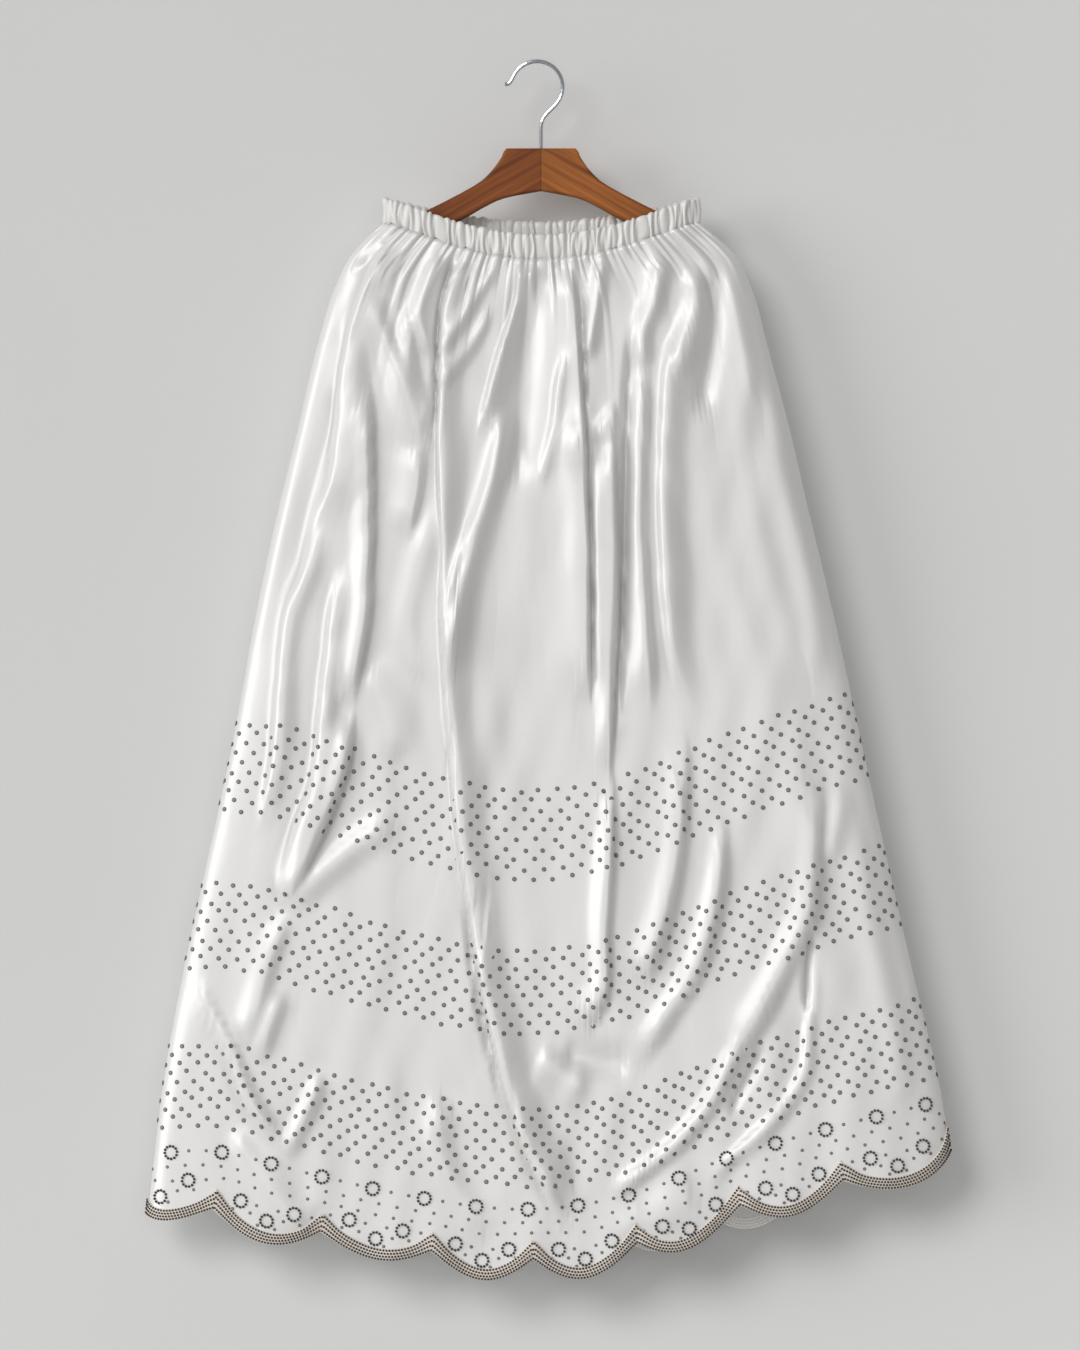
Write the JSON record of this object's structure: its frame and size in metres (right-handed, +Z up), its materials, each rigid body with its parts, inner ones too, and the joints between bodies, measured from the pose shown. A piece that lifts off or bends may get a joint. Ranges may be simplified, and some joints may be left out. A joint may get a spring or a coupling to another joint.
{
  "type": "folk dress skirt on a hanger",
  "caption": "Long flared skirt with an elastic gathered waist, soft folds and a scalloped beaded hem, hanging on a wooden hanger with a wire hook.",
  "frame": {"origin": "inside top of the hook, where a rod carries the hanger", "axes": "+Z up along the hang of the skirt, -Y out of its front, +X to the right as seen from the front"},
  "size_m": [0.7253, 0.0837, 1.0966],
  "materials": {
    "satin": "white satin with a soft sheen",
    "bead_trim": "brown bead rows on a tan tape",
    "hanger_wood": "oiled reddish brown wood",
    "hook_steel": "bright plated wire",
    "stud_metal": "small dark faceted studs"
  },
  "bodies": {
    "root": {"hanger_hook": "hook_steel", "hanger_wood": "hanger_wood", "waist_casing": "satin", "front_panel": "satin", "back_panel": "satin", "front_hem_trim": "bead_trim", "back_hem_trim": "bead_trim"}
  },
  "joints": []
}
